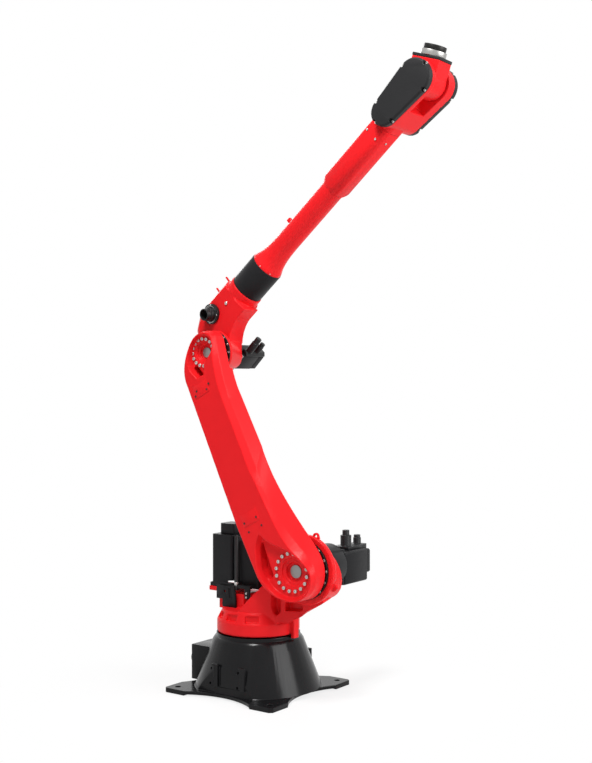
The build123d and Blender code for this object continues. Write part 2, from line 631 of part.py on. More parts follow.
def forearm_tube():
    """Flared tube, then the squarer housing of the wrist motors towards the fork."""
    end = HOUSING_X[1]
    flare = make_face(Wire([
        Line((BAND_X1, 0), (BAND_X1, BAND_R - 1)),
        Line((BAND_X1, BAND_R - 1), (BAND_X1 + 6, BAND_R - 2)),
        Spline((BAND_X1 + 6, BAND_R - 2), (322, 47), (362, 39.5), (403, TUBE_R)),
        Line((403, TUBE_R), (end, TUBE_R)),
        Line((end, TUBE_R), (end, 0)),
        Line((end, 0), (BAND_X1, 0)),
    ]))
    tube = revolve(flare, Axis.X)
    section = Plane.YZ.offset(HOUSING_X[0]) * RectangleRounded(
        2 * HOUSING_HALF_Y, 2 * HOUSING_HALF_Z, HOUSING_ROUND)
    housing = extrude(section, amount=end - HOUSING_X[0])
    cone = Pos(HOUSING_X[0] + 40, 0, 0) * Rot(0, 90, 0) * Cone(TUBE_R, 78, 80)
    housing &= cone + block(HOUSING_X[0] + 79, end, -60, 60, -60, 60)
    return Pos(0, 0, FOREARM_RISE) * (tube + housing)


def forearm_lugs():
    """Two small cable lugs on the upper side of the forearm tube."""
    lugs = [block(x, x + 14, -6, 6, TUBE_R - 2, TUBE_R + 16) for x in (452, 676)]
    return lugs


def fork_outline(extra=0.0):
    return Rot(0, 0, 180) * taper(FORK_TIP_R + extra, FORK_HEEL_R + extra, FORK_LENGTH)


def wrist_fork():
    """Fork of the fifth axis, hollow between its cheeks, with a cross rib."""
    body = slab_xz(fork_outline(), CHEEK_RIGHT_Y, CHEEK_LEFT_Y)
    body -= block(-84, 90, -FORK_GAP, FORK_GAP, -90, 90)
    root = block(-180, -100, -HOUSING_HALF_Y, HOUSING_HALF_Y, -HOUSING_HALF_Z, HOUSING_HALF_Z)
    root = fillet(root.edges().filter_by(Axis.X), HOUSING_ROUND)
    return Pos(FOREARM_LINK, 0, FOREARM_RISE) * (body + root)


def cover_screws():
    """Places of the six screws round a wrist cover, on its rim."""
    tip, heel = FORK_TIP_R - 2, FORK_HEEL_R - 2
    return [
        (tip, 0), (-2, tip), (-2, -tip),
        (-FORK_LENGTH + 2, heel), (-FORK_LENGTH - heel, 0), (-FORK_LENGTH, -heel),
    ]


def wrist_cover(side):
    """Bevelled cover over one cheek, notched for its screws; side is -1 for right, 1 for left."""
    cheek = CHEEK_RIGHT_Y if side < 0 else CHEEK_LEFT_Y
    outer = cheek + side * COVER_THICK
    y0, y1 = sorted((cheek, outer))
    cover = slab_xz(fork_outline(), y0, y1)
    face = cover.faces().sort_by(Axis.Y)[0 if side < 0 else -1]
    cover = chamfer(face.edges(), COVER_BEVEL)
    for x, z in cover_screws():
        cover -= rod_y(SCREW_NOTCH_R, cheek + side * 8, outer + side, x=x, z=z)
    return Pos(FOREARM_LINK, 0, FOREARM_RISE) * cover


def wrist_block():
    """Block between the cheeks that carries the last gear unit."""
    drum = rod_y(BLOCK_R, -BLOCK_HALF_Y, BLOCK_HALF_Y)
    head = block(0, SEAL_X[0], -BLOCK_HALF_Y, BLOCK_HALF_Y, -SEAL_HALF_Z + 1, SEAL_HALF_Z - 1)
    return drum + head


def tool_flange():
    """Round flange with four tapped holes and a pilot recess."""
    flange = rod_x(FLANGE_RADIUS, FLANGE_X + JOINT_GAP, TOOL_REACH)
    flange -= rod_x(PILOT_R, TOOL_REACH - 6, TOOL_REACH + 1)
    for k in range(4):
        angle = radians(45 + 90 * k)
        flange -= rod_x(M6_TAP_R, TOOL_REACH - 11, TOOL_REACH + 1,
                        y=TOOL_BOLTS_R * cos(angle), z=TOOL_BOLTS_R * sin(angle))
    return flange


def base_nodes():
    return {
        "base_casting": base_casting(),
        "travel_stop": travel_stop(),
        "junction_box": junction_box(),
        "connector_panel": connector_panel(),
        "base_connectors": base_connectors(),
    }


def turret_nodes():
    nodes = {"turret_casting": turret_casting()}
    nodes.update(turret_motor_nodes())
    nodes["cable_bracket"] = cable_bracket()
    nodes["cable_clip"] = cable_clip()
    nodes.update(shoulder_motor_nodes())
    nodes["shoulder_reducer"] = rod_y(GEAR_R, GEAR_FACE_Y, FLANGE_Y[0], x=SHOULDER_X, z=SHOULDER_Z)
    nodes["lifting_eye"] = lifting_eye()
    return nodes


def shaft_plug(radius, steps, z=0.0):
    """Round plug on the floor of a stepped recess."""
    floor = POCKET_FLOOR_Y + steps[-1][1]
    return rod_y(radius, floor - PLUG_THICK, floor, z=z)


def lower_arm_nodes():
    return {
        "lower_arm": at_shoulder(lower_arm()),
        "shoulder_output": at_shoulder(rod_y(GEAR_DISC_R, ARM_INNER_Y, GEAR_FACE_Y - JOINT_GAP)),
        "elbow_output": at_shoulder(rod_y(ELBOW_DISC_R, ELBOW_FACE_Y, ELBOW_GEAR_Y - JOINT_GAP, z=LOWER_LINK)),
        "shoulder_shaft_plug": at_shoulder(shaft_plug(SHOULDER_PLUG_R, SHOULDER_STEPS)),
        "elbow_shaft_plug": at_shoulder(shaft_plug(ELBOW_PLUG_R, ELBOW_STEPS, z=LOWER_LINK)),
    }


def elbow_nodes():
    nodes = {"elbow_casting": at_elbow(elbow_casting())}
    nodes["elbow_reducer"] = at_elbow(rod_y(ELBOW_GEAR_R, ELBOW_GEAR_Y, HUB_Y[0]))
    nodes.update(elbow_motor_nodes())
    nodes["hose_inlet"] = at_elbow(hose_inlet())
    nodes["cable_hooks"] = at_elbow(cable_hooks())
    return nodes


def forearm_nodes():
    tube = forearm_tube()
    for lug in forearm_lugs():
        tube += Pos(0, 0, FOREARM_RISE) * lug
    return {
        "roll_sleeve": at_elbow(rod_x(BAND_R, BAND_X0 + JOINT_GAP, BAND_X1, z=FOREARM_RISE)),
        "forearm_tube": at_elbow(tube),
        "wrist_fork": at_elbow(wrist_fork()),
        "wrist_cover_right": at_elbow(wrist_cover(-1)),
        "wrist_cover_left": at_elbow(wrist_cover(1)),
    }


def wrist_nodes():
    seal = block(*SEAL_X, -BLOCK_HALF_Y, BLOCK_HALF_Y, -SEAL_HALF_Z, SEAL_HALF_Z)
    return {
        "wrist_block": at_wrist(wrist_block()),
        "wrist_seal_plate": at_wrist(seal),
        "wrist_reducer": at_wrist(rod_x(REDUCER_R, SEAL_X[1], FLANGE_X)),
        "tool_flange": at_wrist(tool_flange()),
    }


def build_nodes():
    nodes = {}
    for group in (base_nodes, turret_nodes, lower_arm_nodes, elbow_nodes, forearm_nodes, wrist_nodes):
        nodes.update(group())
    return nodes


def main():
    os.makedirs("parts", exist_ok=True)
    for name, shape in build_nodes().items():
        export_step(shape, f"parts/{name}.step")


if __name__ == "__main__":
    main()
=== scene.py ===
from math import cos, radians, sin

import bpy
from mathutils import Matrix, Vector


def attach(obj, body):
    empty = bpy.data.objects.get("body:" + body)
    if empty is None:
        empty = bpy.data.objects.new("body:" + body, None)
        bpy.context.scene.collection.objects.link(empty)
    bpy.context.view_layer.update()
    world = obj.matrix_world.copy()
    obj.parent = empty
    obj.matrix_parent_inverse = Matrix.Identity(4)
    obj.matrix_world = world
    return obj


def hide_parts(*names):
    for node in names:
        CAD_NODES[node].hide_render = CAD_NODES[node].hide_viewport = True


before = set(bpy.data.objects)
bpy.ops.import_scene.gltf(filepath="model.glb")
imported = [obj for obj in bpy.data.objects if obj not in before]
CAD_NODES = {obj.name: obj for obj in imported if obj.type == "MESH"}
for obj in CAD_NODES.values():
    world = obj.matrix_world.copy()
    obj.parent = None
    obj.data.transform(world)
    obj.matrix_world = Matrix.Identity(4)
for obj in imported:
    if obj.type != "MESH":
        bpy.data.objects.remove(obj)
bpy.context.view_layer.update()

bl_info = {
    "name": "Robot Arm Dressing",
    "version": (1, 0, 0),
    "blender": (4, 5, 0),
    "location": "View3D > Sidebar > Robot Arm",
    "description": "Paint, fasteners, connectors and studio for a six-axis industrial robot arm",
    "category": "Object",
}

# Places of the arm's axes, as the solids have them, in metres and degrees

SHOULDER = Vector((0.248, 0.0, 0.424))
LOWER_LINK = 0.770
LOWER_LEAN = -27.6
FOREARM_PITCH = 40.9
FOREARM_RISE = 0.120
FOREARM_LINK = 1.085
WRIST_BEND = 31.0

IN_ARM = Matrix.Translation(SHOULDER) @ Matrix.Rotation(radians(LOWER_LEAN), 4, "Y")
ELBOW = IN_ARM @ Vector((0, 0, LOWER_LINK))
IN_ELBOW = Matrix.Translation(ELBOW) @ Matrix.Rotation(radians(-FOREARM_PITCH), 4, "Y")
IN_FORK = IN_ELBOW @ Matrix.Translation((FOREARM_LINK, 0, FOREARM_RISE))
IN_WRIST = IN_FORK @ Matrix.Rotation(radians(-WRIST_BEND), 4, "Y")
IN_WORLD = Matrix.Identity(4)
TOWARDS_RIGHT = Matrix.Rotation(radians(90), 4, "X")      # local +Z becomes the arm's right, -Y
TOWARDS_LEFT = Matrix.Rotation(radians(-90), 4, "X")
TOWARDS_FRONT = Matrix.Rotation(radians(90), 4, "Y")

# Limits of the modelling steps, in metres and degrees

MERGE_DISTANCE = 0.00002
RING_MERGE_DISTANCE = 0.000001
FLAT_ANGLE = 1.0
BEVEL_SEGMENTS = 2
CORNER_SEGMENTS = 5
SCREW_SIDES = 14


class PaintSettings(bpy.types.PropertyGroup):
    """Colours and gloss of the paint and the plastics."""

    red: bpy.props.FloatVectorProperty(
        name="Red paint", description="Colour of the painted castings",
        default=(0.78, 0.012, 0.016), size=3, min=0, max=1, subtype="COLOR")
    black: bpy.props.FloatVectorProperty(
        name="Black paint", description="Colour of the base, the motors and the brackets",
        default=(0.0065, 0.0065, 0.0072), size=3, min=0, max=1, subtype="COLOR")
    plastic: bpy.props.FloatVectorProperty(
        name="Black plastic", description="Colour of the wrist covers and the connectors",
        default=(0.010, 0.010, 0.0108), size=3, min=0, max=1, subtype="COLOR")
    steel: bpy.props.FloatVectorProperty(
        name="Bright steel", description="Colour of screws, shaft ends and ground rings",
        default=(0.66, 0.65, 0.63), size=3, min=0, max=1, subtype="COLOR")
    gloss: bpy.props.FloatProperty(
        name="Gloss coat", description="Weight of the clear coat on the red paint",
        default=0.05, min=0, max=1, subtype="FACTOR")


class SizeSettings(bpy.types.PropertyGroup):
    """Sizes of the castings' rounded edges and of the fasteners."""

    casting_grain: bpy.props.FloatProperty(
        name="Casting grain", description="Cell of the mesh that rounds the castings' edges",
        default=0.0022, min=0.001, max=0.01, unit="LENGTH")
    edge: bpy.props.FloatProperty(
        name="Machined edge", description="Bevel on machined and moulded parts",
        default=0.0012, min=0.0002, max=0.005, unit="LENGTH")
    gear_screw: bpy.props.FloatProperty(
        name="Gear unit screws", description="Head radius of the screws round the gear units",
        default=0.0061, min=0.002, max=0.02, unit="LENGTH")
    small_screw: bpy.props.FloatProperty(
        name="Small screws", description="Head radius of the screws on the shoulder ring and covers",
        default=0.0042, min=0.001, max=0.02, unit="LENGTH")
    key_light: bpy.props.FloatProperty(
        name="Key light", description="Power of the large soft light on the arm's right",
        default=120, min=0, max=2000, unit="POWER")
    front_light: bpy.props.FloatProperty(
        name="Front light", description="Power of the soft light that faces the side of the arm",
        default=150, min=0, max=2000, unit="POWER")


def paint():
    """The colours set in the sidebar."""
    return bpy.context.scene.robot_paint


def sizes():
    """The sizes and lamp powers set in the sidebar."""
    return bpy.context.scene.robot_sizes


# Materials

class Wire:
    """A socket that can stand in sums; each operator adds the Math node that it stands for."""

    def __init__(self, maker, socket):
        self.maker = maker
        self.socket = socket

    def sum_with(self, operation, *others):
        settings = {"operation": operation}
        return self.maker.node("ShaderNodeMath", settings, dict(enumerate(others)))

    def __add__(self, other):
        return self.sum_with("ADD", self, other)

    def __radd__(self, other):
        return self.sum_with("ADD", other, self)

    def __mul__(self, other):
        return self.sum_with("MULTIPLY", self, other)

    def __rmul__(self, other):
        return self.sum_with("MULTIPLY", other, self)

    def larger(self, other):
        return self.sum_with("MAXIMUM", self, other)


class NodeMaker:
    """A node tree and the one method that adds its nodes."""

    def __init__(self, tree):
        self.tree = tree
        self.tree.nodes.clear()

    def node(self, kind, settings, inputs, output=0):
        """Add a node: its settings, then its sockets' values or links; returns one output, or the node."""
        added = self.tree.nodes.new(kind)
        for key, value in settings.items():
            setattr(added, key, value)
        for socket, value in inputs.items():
            self.join(added.inputs[socket], value)
        return added if output is None else Wire(self, added.outputs[output])

    def join(self, socket, value):
        if isinstance(value, Wire):
            self.tree.links.new(value.socket, socket)
        else:
            socket.default_value = value

    def seen_rays(self):
        """One for camera, mirror and glass rays, so that bright metal shows the white studio too."""
        camera, mirror, glass = (
            self.node("ShaderNodeLightPath", {}, {}, ray)
            for ray in ("Is Camera Ray", "Is Glossy Ray", "Is Transmission Ray"))
        return camera.larger(mirror.larger(glass))


class Finish(NodeMaker):
    """A material with its Principled shader."""

    def __init__(self, name):
        self.material = bpy.data.materials.new(name)
        self.material.use_nodes = True
        super().__init__(self.material.node_tree)
        self.shader = self.node("ShaderNodeBsdfPrincipled", {}, {}, None)
        self.output = self.node("ShaderNodeOutputMaterial", {}, {}, None)
        self.surface(Wire(self, self.shader.outputs[0]))
        self.place = self.node("ShaderNodeTexCoord", {}, {}, "Object")

    def surface(self, shading):
        self.join(self.output.inputs["Surface"], shading)

    def set(self, **values):
        """Set or link sockets of the shader, named with underscores for spaces."""
        for name, value in values.items():
            self.join(self.shader.inputs[name.replace("_", " ")], value)

    def noise(self, scale, detail=3.0, roughness=0.5, stretch=(1, 1, 1)):
        place = self.node("ShaderNodeMapping", {}, {"Vector": self.place, "Scale": stretch})
        return self.node(
            "ShaderNodeTexNoise", {},
            {"Vector": place, "Scale": scale, "Detail": detail, "Roughness": roughness})

    def blend(self, factor, first, second):
        return self.node(
            "ShaderNodeMix", {"data_type": "RGBA"}, {0: factor, 6: (*first, 1), 7: (*second, 1)}, 2)

    def bump(self, height, strength, distance):
        bumped = self.node(
            "ShaderNodeBump", {}, {"Strength": strength, "Distance": distance, "Height": height})
        self.set(Normal=bumped)


def shade(colour, factor):
    """A colour made darker or lighter."""
    return tuple(min(1.0, channel * factor) for channel in colour)


def red_paint_finish():
    """Gloss red over a cast surface: a fine orange peel and slow waves of the casting."""
    finish = Finish("red gloss paint")
    red = tuple(paint().red)
    clouds = finish.noise(7.0)
    finish.set(
        Base_Color=finish.blend(clouds, shade(red, 0.93), shade(red, 1.05)),
        Roughness=0.34 + 0.08 * finish.noise(38.0),
        Coat_Weight=paint().gloss,
        Coat_Roughness=0.16,
        Specular_IOR_Level=0.10)
    finish.bump(0.2 * finish.noise(420.0) + 2.2 * finish.noise(45.0), 0.04, 0.0004)
    return finish.material


def black_paint_finish():
    """Gloss black of the base, with soft clouds in its shade."""
    finish = Finish("black gloss paint")
    black = tuple(paint().black)
    finish.set(
        Base_Color=finish.blend(finish.noise(6.0), shade(black, 0.8), shade(black, 1.3)),
        Roughness=0.17 + 0.08 * finish.noise(30.0),
        Coat_Weight=0.03,
        Coat_Roughness=0.12,
        Specular_IOR_Level=0.14)
    finish.bump(finish.noise(420.0) + 2.0 * finish.noise(60.0), 0.05, 0.0004)
    return finish.material


def motor_finish():
    """Satin black of the motors, a little uneven like a sprayed aluminium body."""
    finish = Finish("satin black motor paint")
    black = shade(tuple(paint().black), 1.5)
    finish.set(
        Base_Color=finish.blend(finish.noise(9.0), shade(black, 0.85), shade(black, 1.25)),
        Roughness=0.36 + 0.12 * finish.noise(55.0),
        Specular_IOR_Level=0.14)
    finish.bump(finish.noise(900.0), 0.12, 0.0004)
    return finish.material


def plastic_finish(name, grain, roughness):
    """Moulded black plastic with an eroded grain."""
    finish = Finish(name)
    colour = tuple(paint().plastic)
    cells = finish.node("ShaderNodeTexVoronoi", {}, {"Vector": finish.place, "Scale": grain})
    finish.set(
        Base_Color=finish.blend(finish.noise(12.0), shade(colour, 0.85), shade(colour, 1.2)),
        Roughness=roughness + 0.10 * finish.noise(80.0),
        Specular_IOR_Level=0.25)
    finish.bump(cells + finish.noise(grain * 0.6), 0.16, 0.0005)
    return finish.material


def lead_finish():
    """Coated sleeve of the motor's cable, with the rings of its winding."""
    finish = Finish("grey coated cable sleeve")
    dark, light = (0.018, 0.018, 0.019), (0.032, 0.032, 0.033)
    rings = finish.node(
        "ShaderNodeTexWave", {"bands_direction": "Z"},
        {"Vector": finish.place, "Scale": 60.0, "Distortion": 0.3})
    finish.set(
        Base_Color=finish.blend(finish.noise(40.0), dark, light),
        Roughness=0.42 + 0.1 * finish.noise(90.0),
        Specular_IOR_Level=0.2)
    finish.bump(rings, 0.15, 0.0006)
    return finish.material


def steel_finish(name, brightness, roughness, brushed):
    """Bare steel with fine turning or brushing marks."""
    finish = Finish(name)
    colour = shade(tuple(paint().steel), brightness)
    marks = finish.noise(brushed, 4.0, 0.6, (1, 14, 1))
    finish.set(
        Base_Color=finish.blend(marks, shade(colour, 0.82), shade(colour, 1.12)),
        Metallic=1.0,
        Roughness=roughness + 0.14 * marks)
    finish.bump(marks, 0.12, 0.0003)
    return finish.material


def hole_finish():
    """Dark inside of the small tapped holes: painted shade, mottled towards a dark rust red."""
    finish = Finish("painted shade in tapped holes")
    # Near-black painted shade of the hole's inside, blended with a dark rust red by noise.
    shadow, rust = (0.01, 0.003, 0.003), (0.03, 0.006, 0.006)
    finish.set(Base_Color=finish.blend(finish.noise(300.0), shadow, rust), Roughness=0.7)
    return finish.material


FINISHES = {}


def finish_of(key):
    """The finish with that name; made when it is first asked for."""
    makers = {
        "red": red_paint_finish,
        "black": black_paint_finish,
        "motor": motor_finish,
        "plastic": lambda: plastic_finish("grained black plastic", 900.0, 0.42),
        "connector": lambda: plastic_finish("black connector plastic", 1500.0, 0.34),
        "bright": lambda: steel_finish("ground steel", 0.6, 0.26, 60.0),
        "screw": lambda: steel_finish("zinc plated screws", 0.85, 0.30, 200.0),
        "dark": lambda: steel_finish("oiled dark steel", 0.045, 0.34, 60.0),
        "shaft": lambda: steel_finish("brushed shaft steel", 0.42, 0.36, 90.0),
        "lead": lead_finish,
        "hole": hole_finish,
    }
    if key not in FINISHES:
        FINISHES[key] = makers[key]()
    return FINISHES[key]


# Modelling, in the steps that one takes by hand

def deselect():
    """Leave edit mode and select nothing."""
    if bpy.context.object and bpy.context.object.mode != "OBJECT":
        bpy.ops.object.mode_set(mode="OBJECT")
    bpy.ops.object.select_all(action="DESELECT")


def take(piece):
    """Make a piece the only one selected, and the active one."""
    deselect()
    piece.select_set(True)
    bpy.context.view_layer.objects.active = piece
    return piece


def modify(piece, kind, **settings):
    """Add a modifier and apply it."""
    modifier = piece.modifiers.new(kind.lower(), kind)
    for key, value in settings.items():
        setattr(modifier, key, value)
    bpy.ops.object.modifier_apply(modifier=modifier.name)


def bevelled(piece, width, angle=35):
    """Bevel every edge sharper than an angle, in degrees."""
    take(piece)
    modify(
        piece, "BEVEL", width=width, segments=BEVEL_SEGMENTS, limit_method="ANGLE",
        angle_limit=radians(angle), use_clamp_overlap=False, harden_normals=False)
    return piece


def smoothed(piece, angle=40):
    """Smooth shading across edges flatter than an angle, in degrees."""
    take(piece)
    bpy.ops.object.shade_smooth_by_angle(angle=radians(angle))
    return piece


def node_copy(node):
    """A copy of a solid's mesh, its loose triangles merged, to be refined into a finished piece."""
    piece = CAD_NODES[node].copy()
    piece.data = CAD_NODES[node].data.copy()
    piece.parent = None
    for key in list(piece.keys()):
        del piece[key]
    bpy.context.scene.collection.objects.link(piece)
    take(piece)
    bpy.ops.object.mode_set(mode="EDIT")
    bpy.ops.mesh.select_mode(type="VERT")
    bpy.ops.mesh.select_all(action="SELECT")
    bpy.ops.mesh.remove_doubles(threshold=MERGE_DISTANCE)
    bpy.ops.object.mode_set(mode="OBJECT")
    return piece


def finish_piece(piece, name, body, finish, replaced=()):
    """Put a piece's place into its mesh, name it, give it its finish and its body."""
    take(piece)
    bpy.ops.object.transform_apply(location=True, rotation=True, scale=True)
    piece.name = name
    piece.data.name = name
    piece.data.materials.clear()
    piece.data.materials.append(finish_of(finish))
    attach(piece, body)
    for node in replaced:
        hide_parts(node)
    return piece


def cast_piece(node, name, body, finish, aligned=IN_WORLD, grain=None, rounding=2):
    """A casting: the solid's mesh remeshed in a fine grid along its own axes, its edges softened."""
    piece = node_copy(node)
    piece.matrix_world = aligned.inverted() @ piece.matrix_world
    take(piece)
    bpy.ops.object.transform_apply(location=True, rotation=True, scale=True)
    solid = piece.copy()
    solid.data = piece.data.copy()
    bpy.context.scene.collection.objects.link(solid)
    modify(piece, "REMESH", mode="VOXEL", voxel_size=grain or sizes().casting_grain)
    modify(piece, "SMOOTH", factor=0.5, iterations=rounding)
    modify(piece, "SHRINKWRAP", target=solid, wrap_method="NEAREST_SURFACEPOINT")
    modify(piece, "SMOOTH", factor=0.5, iterations=1)
    bpy.data.objects.remove(solid)
    bpy.ops.object.shade_smooth()
    piece.matrix_world = aligned
    return finish_piece(piece, name, body, finish, (node,))


def machined_piece(node, name, body, finish, edge=None, sharp=35, smooth=40):
    """A machined or moulded part: flat faces joined up, then every sharp edge bevelled."""
    piece = node_copy(node)
    bpy.ops.object.mode_set(mode="EDIT")
    bpy.ops.mesh.select_all(action="SELECT")
    bpy.ops.mesh.dissolve_limited(angle_limit=radians(FLAT_ANGLE))
    bpy.ops.object.mode_set(mode="OBJECT")
    bevelled(piece, edge or sizes().edge, sharp)
    smoothed(piece, smooth)
    return finish_piece(piece, name, body, finish, (node,))


def turned(profile, sides=40, closed=True):
    """A turned part about +Z: a circle is extruded and scaled from ring to ring along its profile."""
    deselect()
    radius, height = profile[0]
    fill = "NGON" if closed else "NOTHING"
    bpy.ops.mesh.primitive_circle_add(vertices=sides, radius=radius, fill_type=fill, location=(0, 0, height))
    piece = bpy.context.object
    bpy.ops.object.transform_apply(location=True)
    bpy.ops.object.mode_set(mode="EDIT")
    bpy.ops.mesh.select_mode(type="EDGE")
    bpy.ops.mesh.select_all(action="SELECT")
    for next_radius, next_height in profile[1:]:
        bpy.ops.mesh.extrude_edges_move(TRANSFORM_OT_translate={"value": (0, 0, next_height - height)})
        factor = next_radius / radius
        bpy.ops.transform.resize(value=(factor, factor, 1), center_override=(0, 0, next_height))
        radius, height = next_radius, next_height
    if closed:
        bpy.ops.mesh.edge_face_add()
    bpy.ops.mesh.select_all(action="SELECT")
    bpy.ops.mesh.remove_doubles(threshold=RING_MERGE_DISTANCE)
    bpy.ops.mesh.normals_make_consistent(inside=False)
    bpy.ops.object.mode_set(mode="OBJECT")
    return piece


def copies(pattern, places):
    """Copies of one modelled shape, each with its own mesh, joined into one piece."""
    made = []
    for place in places:
        copy = pattern.copy()
        copy.data = pattern.data.copy()
        copy.matrix_world = place @ pattern.matrix_world
        bpy.context.scene.collection.objects.link(copy)
        made.append(copy)
    bpy.data.objects.remove(pattern)
    take(made[0])
    for copy in made:
        copy.select_set(True)
    bpy.ops.object.transform_apply(location=True, rotation=True, scale=True)
    if len(made) > 1:
        bpy.ops.object.join()
    return bpy.context.object


def screw_head(radius, height):
    """Socket head screw, standing on the origin along +Z."""
    rim = radius * 0.86
    head = turned([
        (radius * 0.96, 0), (radius, height * 0.15), (radius, height * 0.78), (rim, height),
        (radius * 0.52, height), (radius * 0.46, height * 0.55)], SCREW_SIDES)
    return smoothed(head, 35)


def screws(name, body, slot, places, radius, height):
    """Screws of one kind, joined into one piece."""
    return finish_piece(copies(screw_head(radius, height), places), name, body, "screw")


def ring_places(base, radius, count, first):
    """Places of screws on a circle about local Z; the first one's angle in degrees."""
    places = []
    for index in range(count):
        angle = radians(first + 360 * index / count)
        places.append(base @ Matrix.Translation((radius * cos(angle), radius * sin(angle), 0)))
    return places


class RobotOperator:
    """What the operators share: each makes its pieces once and then is finished."""

    bl_options = {"REGISTER", "UNDO"}

    def execute(self, context):
        self.make()
        return {"FINISHED"}


class DressBase(RobotOperator, bpy.types.Operator):
    """Black foot casting with its stop, junction box and connectors"""

    bl_idname = "robot_arm.dress_base"
    bl_label = "Base"

    PANEL_CENTRE = (-0.226, 0, 0.075)
    PANEL_SCREWS_Y = 0.058
    PANEL_SCREWS_Z = 0.033
    PANEL_SCREW = (0.004, 0.0036)
    FOOT_EDGE = 0.0018
    BOX_EDGE = 0.002
    CONNECTOR_EDGE = 0.0008

    def make(self):
        machined_piece(
            "base_casting", "foot_casting", "base", "black", self.FOOT_EDGE, sharp=20,
            smooth=14)
        machined_piece("travel_stop", "stop_block", "base", "black")
        machined_piece("junction_box", "junction_housing", "base", "black", self.BOX_EDGE)
        machined_piece("connector_panel", "connector_plate", "base", "motor")
        machined_piece(
            "base_connectors", "supply_connectors", "base", "connector", self.CONNECTOR_EDGE)
        panel = Matrix.Translation(self.PANEL_CENTRE) @ Matrix.Rotation(radians(-90), 4, "Y")
        corners = [
            panel @ Matrix.Translation((z, y, 0))
            for y in (-self.PANEL_SCREWS_Y, self.PANEL_SCREWS_Y)
            for z in (-self.PANEL_SCREWS_Z, self.PANEL_SCREWS_Z)]
        screws("panel_screws", "base", "panel", corners, *self.PANEL_SCREW)


class DressTurret(RobotOperator, bpy.types.Operator):
    """Red turret casting, its brackets, gear unit and lifting eye"""

    bl_idname = "robot_arm.dress_turret"
    bl_label = "Turret"

    GRAIN = 0.0026
    EYE_EDGE = 0.0008
    PLATE_EDGE = 0.0006
    GEAR_FACE_Y = -0.0947
    GEAR_CIRCLE = 0.0885
    GEAR_SCREWS = 16
    GEAR_FIRST = 1.8
    CLIP_X = -0.0065
    CLIP_FACE_Y = -0.0565
    CLIP_SCREWS_Z = (0.3185, 0.306)

    def make(self):
        cast_piece("turret_casting", "turret_shell", "turret", "red", IN_WORLD, self.GRAIN)
        machined_piece("lifting_eye", "lifting_lug", "turret", "red", self.EYE_EDGE)
        machined_piece("cable_bracket", "cable_plate", "turret", "motor", self.PLATE_EDGE)
        machined_piece("cable_clip", "cable_plate_small", "turret", "motor", self.PLATE_EDGE)
        machined_piece(
            "shoulder_reducer", "shoulder_gear_ring", "turret", "dark", self.EYE_EDGE)
        gear = Matrix.Translation((SHOULDER.x, self.GEAR_FACE_Y, SHOULDER.z)) @ TOWARDS_RIGHT
        places = ring_places(gear, self.GEAR_CIRCLE, self.GEAR_SCREWS, self.GEAR_FIRST)
        screws("shoulder_ring_screws", "turret", "dark_steel", places, sizes().small_screw, 0.0022)
        clip = [
            Matrix.Translation((self.CLIP_X, self.CLIP_FACE_Y, z)) @ TOWARDS_RIGHT
            for z in self.CLIP_SCREWS_Z]
        screws("clip_screws", "turret", "motor_housing", clip, 0.0034, 0.002)


class DressTurretMotor(RobotOperator, bpy.types.Operator):
    """First-axis motor that stands on the turret"""

    bl_idname = "robot_arm.dress_turret_motor"
    bl_label = "First motor"

    GRAIN = 0.0018
    CAP_EDGE = 0.0016
    BLOCK_EDGE = 0.002
    LEAD_EDGE = 0.0005
    LEAD_END = (-0.057, -0.045, 0.3365)
    END_PROFILE = [(0.0070, 0), (0.0076, 0.001), (0.0076, 0.0125), (0.0070, 0.0135)]

    def make(self):
        cast_piece(
            "turret_motor", "first_motor_body", "turret", "motor", IN_WORLD, self.GRAIN,
            rounding=1)
        machined_piece(
            "turret_motor_cap", "first_motor_cap", "turret", "motor", self.CAP_EDGE)
        machined_piece(
            "turret_motor_terminals", "first_motor_terminals", "turret", "motor",
            self.BLOCK_EDGE)
        machined_piece(
            "motor_lead", "motor_cable_sleeve", "turret", "lead", self.LEAD_EDGE)
        end = smoothed(turned(self.END_PROFILE, 24))
        finish_piece(
            copies(end, [Matrix.Translation(self.LEAD_END)]), "cable_sleeve_end", "turret",
            "screw")


class DressShoulderMotor(RobotOperator, bpy.types.Operator):
    """Second-axis motor that lies behind the shoulder"""

    bl_idname = "robot_arm.dress_shoulder_motor"
    bl_label = "Second motor"

    PARTS = (
        ("shoulder_adapter", "second_motor_adapter", "motor_housing", "motor", 0.002),
        ("shoulder_motor", "second_motor_body", "motor_housing", "motor", 0.0018),
        ("shoulder_motor_cap", "second_motor_cap", "motor_housing", "motor", 0.0018),
        ("shoulder_motor_terminals", "second_motor_connectors", "connectors", "connector", 0.0012),
    )

    def make(self):
        for node, name, slot, finish, edge in self.PARTS:
            machined_piece(node, name, "turret", finish, edge)


